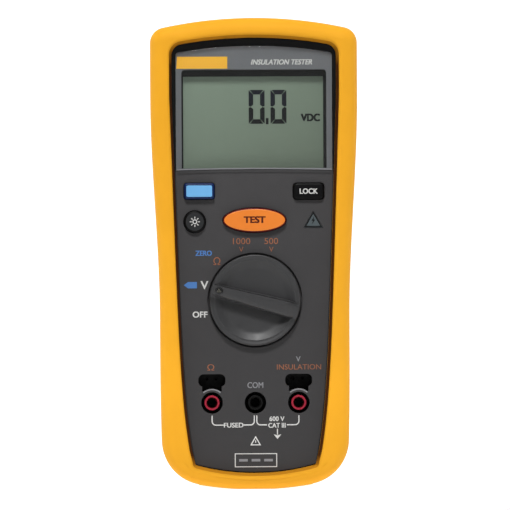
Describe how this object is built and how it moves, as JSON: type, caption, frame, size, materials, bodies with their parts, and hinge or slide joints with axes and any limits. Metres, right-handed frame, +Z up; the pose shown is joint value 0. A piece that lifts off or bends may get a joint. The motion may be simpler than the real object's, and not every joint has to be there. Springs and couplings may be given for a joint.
{
  "type": "insulation resistance tester",
  "caption": "Handheld insulation resistance tester: upright charcoal meter in an amber holster, with display, keys, rotary switch, input jacks, battery door and tilt stand.",
  "frame": {"origin": "middle of the holster's foot, on the surface that it stands on", "axes": "+Z up along the meter, -Y out of the front panel, +X to the right seen from the front"},
  "size_m": [0.091, 0.05, 0.207],
  "materials": {
    "amber_rubber": "satin moulded elastomer",
    "case_plastic": "fine texture",
    "black_rubber": "matte",
    "black_plastic": "matte",
    "screw_steel": "plated",
    "window_plastic": "clear",
    "grey_print": "printed film",
    "lcd_glass": "satin",
    "pale_plastic": "matte",
    "red_plastic": "moulded",
    "contact_brass": "plated",
    "smoke_plastic": "translucent",
    "board": "solder resist",
    "ferrite": "sintered",
    "winding": "taped winding",
    "capacitor_blue": "sleeved",
    "fuse_ceramic": "fired",
    "cell_jacket": "sleeved",
    "label_paper": "blank label",
    "white_print": "printed",
    "blue_rubber": "satin",
    "orange_rubber": "satin"
  },
  "bodies": {
    "meter": {"holster": "amber_rubber", "front_case": "case_plastic", "rear_case": "case_plastic", "case_gasket": "black_rubber", "case_screws": "screw_steel", "lens": "window_plastic", "lens_mask": "grey_print", "lcd_glass": "lcd_glass", "lcd_frame": "case_plastic", "backlight_panel": "pale_plastic", "zebra_strips": "black_rubber", "keypad_mat": "black_rubber", "detent_spring": "screw_steel", "input_block": "black_plastic", "jack_insulator_left": "red_plastic", "jack_insulator_com": "black_plastic", "jack_insulator_right": "red_plastic", "jack_sleeves": "contact_brass", "probe_socket_pins": "contact_brass", "warning_lens": "smoke_plastic", "warning_led": "red_plastic", "main_board": "board", "board_screws": "screw_steel", "transformer_core": "ferrite", "transformer_winding": "winding", "hv_capacitors": "capacitor_blue", "relays": "pale_plastic", "main_chips": "black_plastic", "buzzer": "black_plastic", "fuse_body": "fuse_ceramic", "fuse_caps": "screw_steel", "fuse_clips": "contact_brass", "battery_cells": "cell_jacket", "cell_terminals": "screw_steel", "battery_springs": "screw_steel", "battery_contact_plates": "screw_steel", "stand_pin": "screw_steel", "rating_label": "label_paper"},
    "switch": {"knob": "case_plastic", "knob_marker": "white_print", "switch_rotor": "pale_plastic", "rotor_wipers": "contact_brass"},
    "shift_key": {"shift_button": "blue_rubber"},
    "lock_key": {"lock_button": "black_rubber"},
    "backlight_key": {"backlight_button": "black_rubber"},
    "test_key": {"test_button": "orange_rubber"},
    "door": {"battery_door": "case_plastic", "door_seal": "black_rubber"},
    "door_screw_left": {"door_lock_left": "screw_steel"},
    "door_screw_right": {"door_lock_right": "screw_steel"},
    "stand": {"tilt_stand": "case_plastic", "stand_foot_pads": "black_rubber"}
  },
  "joints": [
    {"name": "switch_turn", "type": "hinge", "parent": "meter", "child": "switch", "pos_m": [0, -0.02, 0.083], "axis": [0, -1, 0], "range_deg": [-90, 30]},
    {"name": "shift_press", "type": "slide", "parent": "meter", "child": "shift_key", "axis": [0, 1, 0], "range_m": [0, 0.001], "stiffness_N_per_m": 400, "springref_m": -0.0005},
    {"name": "lock_press", "type": "slide", "parent": "meter", "child": "lock_key", "axis": [0, 1, 0], "range_m": [0, 0.001], "stiffness_N_per_m": 400, "springref_m": -0.0005},
    {"name": "backlight_press", "type": "slide", "parent": "meter", "child": "backlight_key", "axis": [0, 1, 0], "range_m": [0, 0.001], "stiffness_N_per_m": 400, "springref_m": -0.0005},
    {"name": "test_press", "type": "slide", "parent": "meter", "child": "test_key", "axis": [0, 1, 0], "range_m": [0, 0.001], "stiffness_N_per_m": 400, "springref_m": -0.0005},
    {"name": "door_lift", "type": "slide", "parent": "meter", "child": "door", "axis": [0, 1, 0], "range_m": [0, 0.03]},
    {"name": "left_screw_turn", "type": "hinge", "parent": "door", "child": "door_screw_left", "pos_m": [-0.0215, 0.02, 0.098], "axis": [0, -1, 0], "range_deg": [0, 90]},
    {"name": "right_screw_turn", "type": "hinge", "parent": "door", "child": "door_screw_right", "pos_m": [0.0215, 0.02, 0.098], "axis": [0, 1, 0], "range_deg": [0, 90]},
    {"name": "stand_swing", "type": "hinge", "parent": "meter", "child": "stand", "pos_m": [0, 0.0223, 0.118], "axis": [1, 0, 0], "range_deg": [0, 55]}
  ]
}
